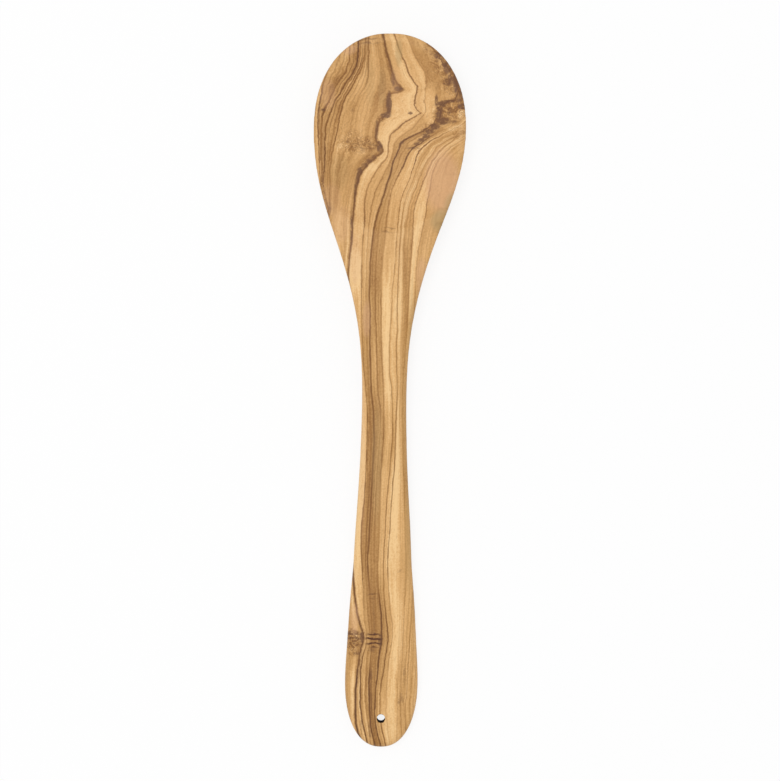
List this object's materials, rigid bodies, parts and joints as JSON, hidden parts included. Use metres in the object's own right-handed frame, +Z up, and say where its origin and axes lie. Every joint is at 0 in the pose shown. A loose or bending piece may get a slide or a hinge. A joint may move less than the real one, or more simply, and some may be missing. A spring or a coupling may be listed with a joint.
{
  "type": "wooden spoon",
  "caption": "Long cooking spoon carved from one piece of olive wood, with a shallow oval bowl and a flared flat handle drilled for hanging.",
  "frame": {"origin": "centre of the spoon's bounding box, on the surface that it lies on", "axes": "+Y along the spoon towards the tip of the bowl, +Z up out of the hollow of the bowl, +X to the right as seen with the bowl at the top"},
  "size_m": [0.064, 0.3, 0.013],
  "materials": {
    "olive_wood": "sanded smooth and oiled, satin"
  },
  "bodies": {
    "root": {"spoon": "olive_wood"}
  },
  "joints": []
}
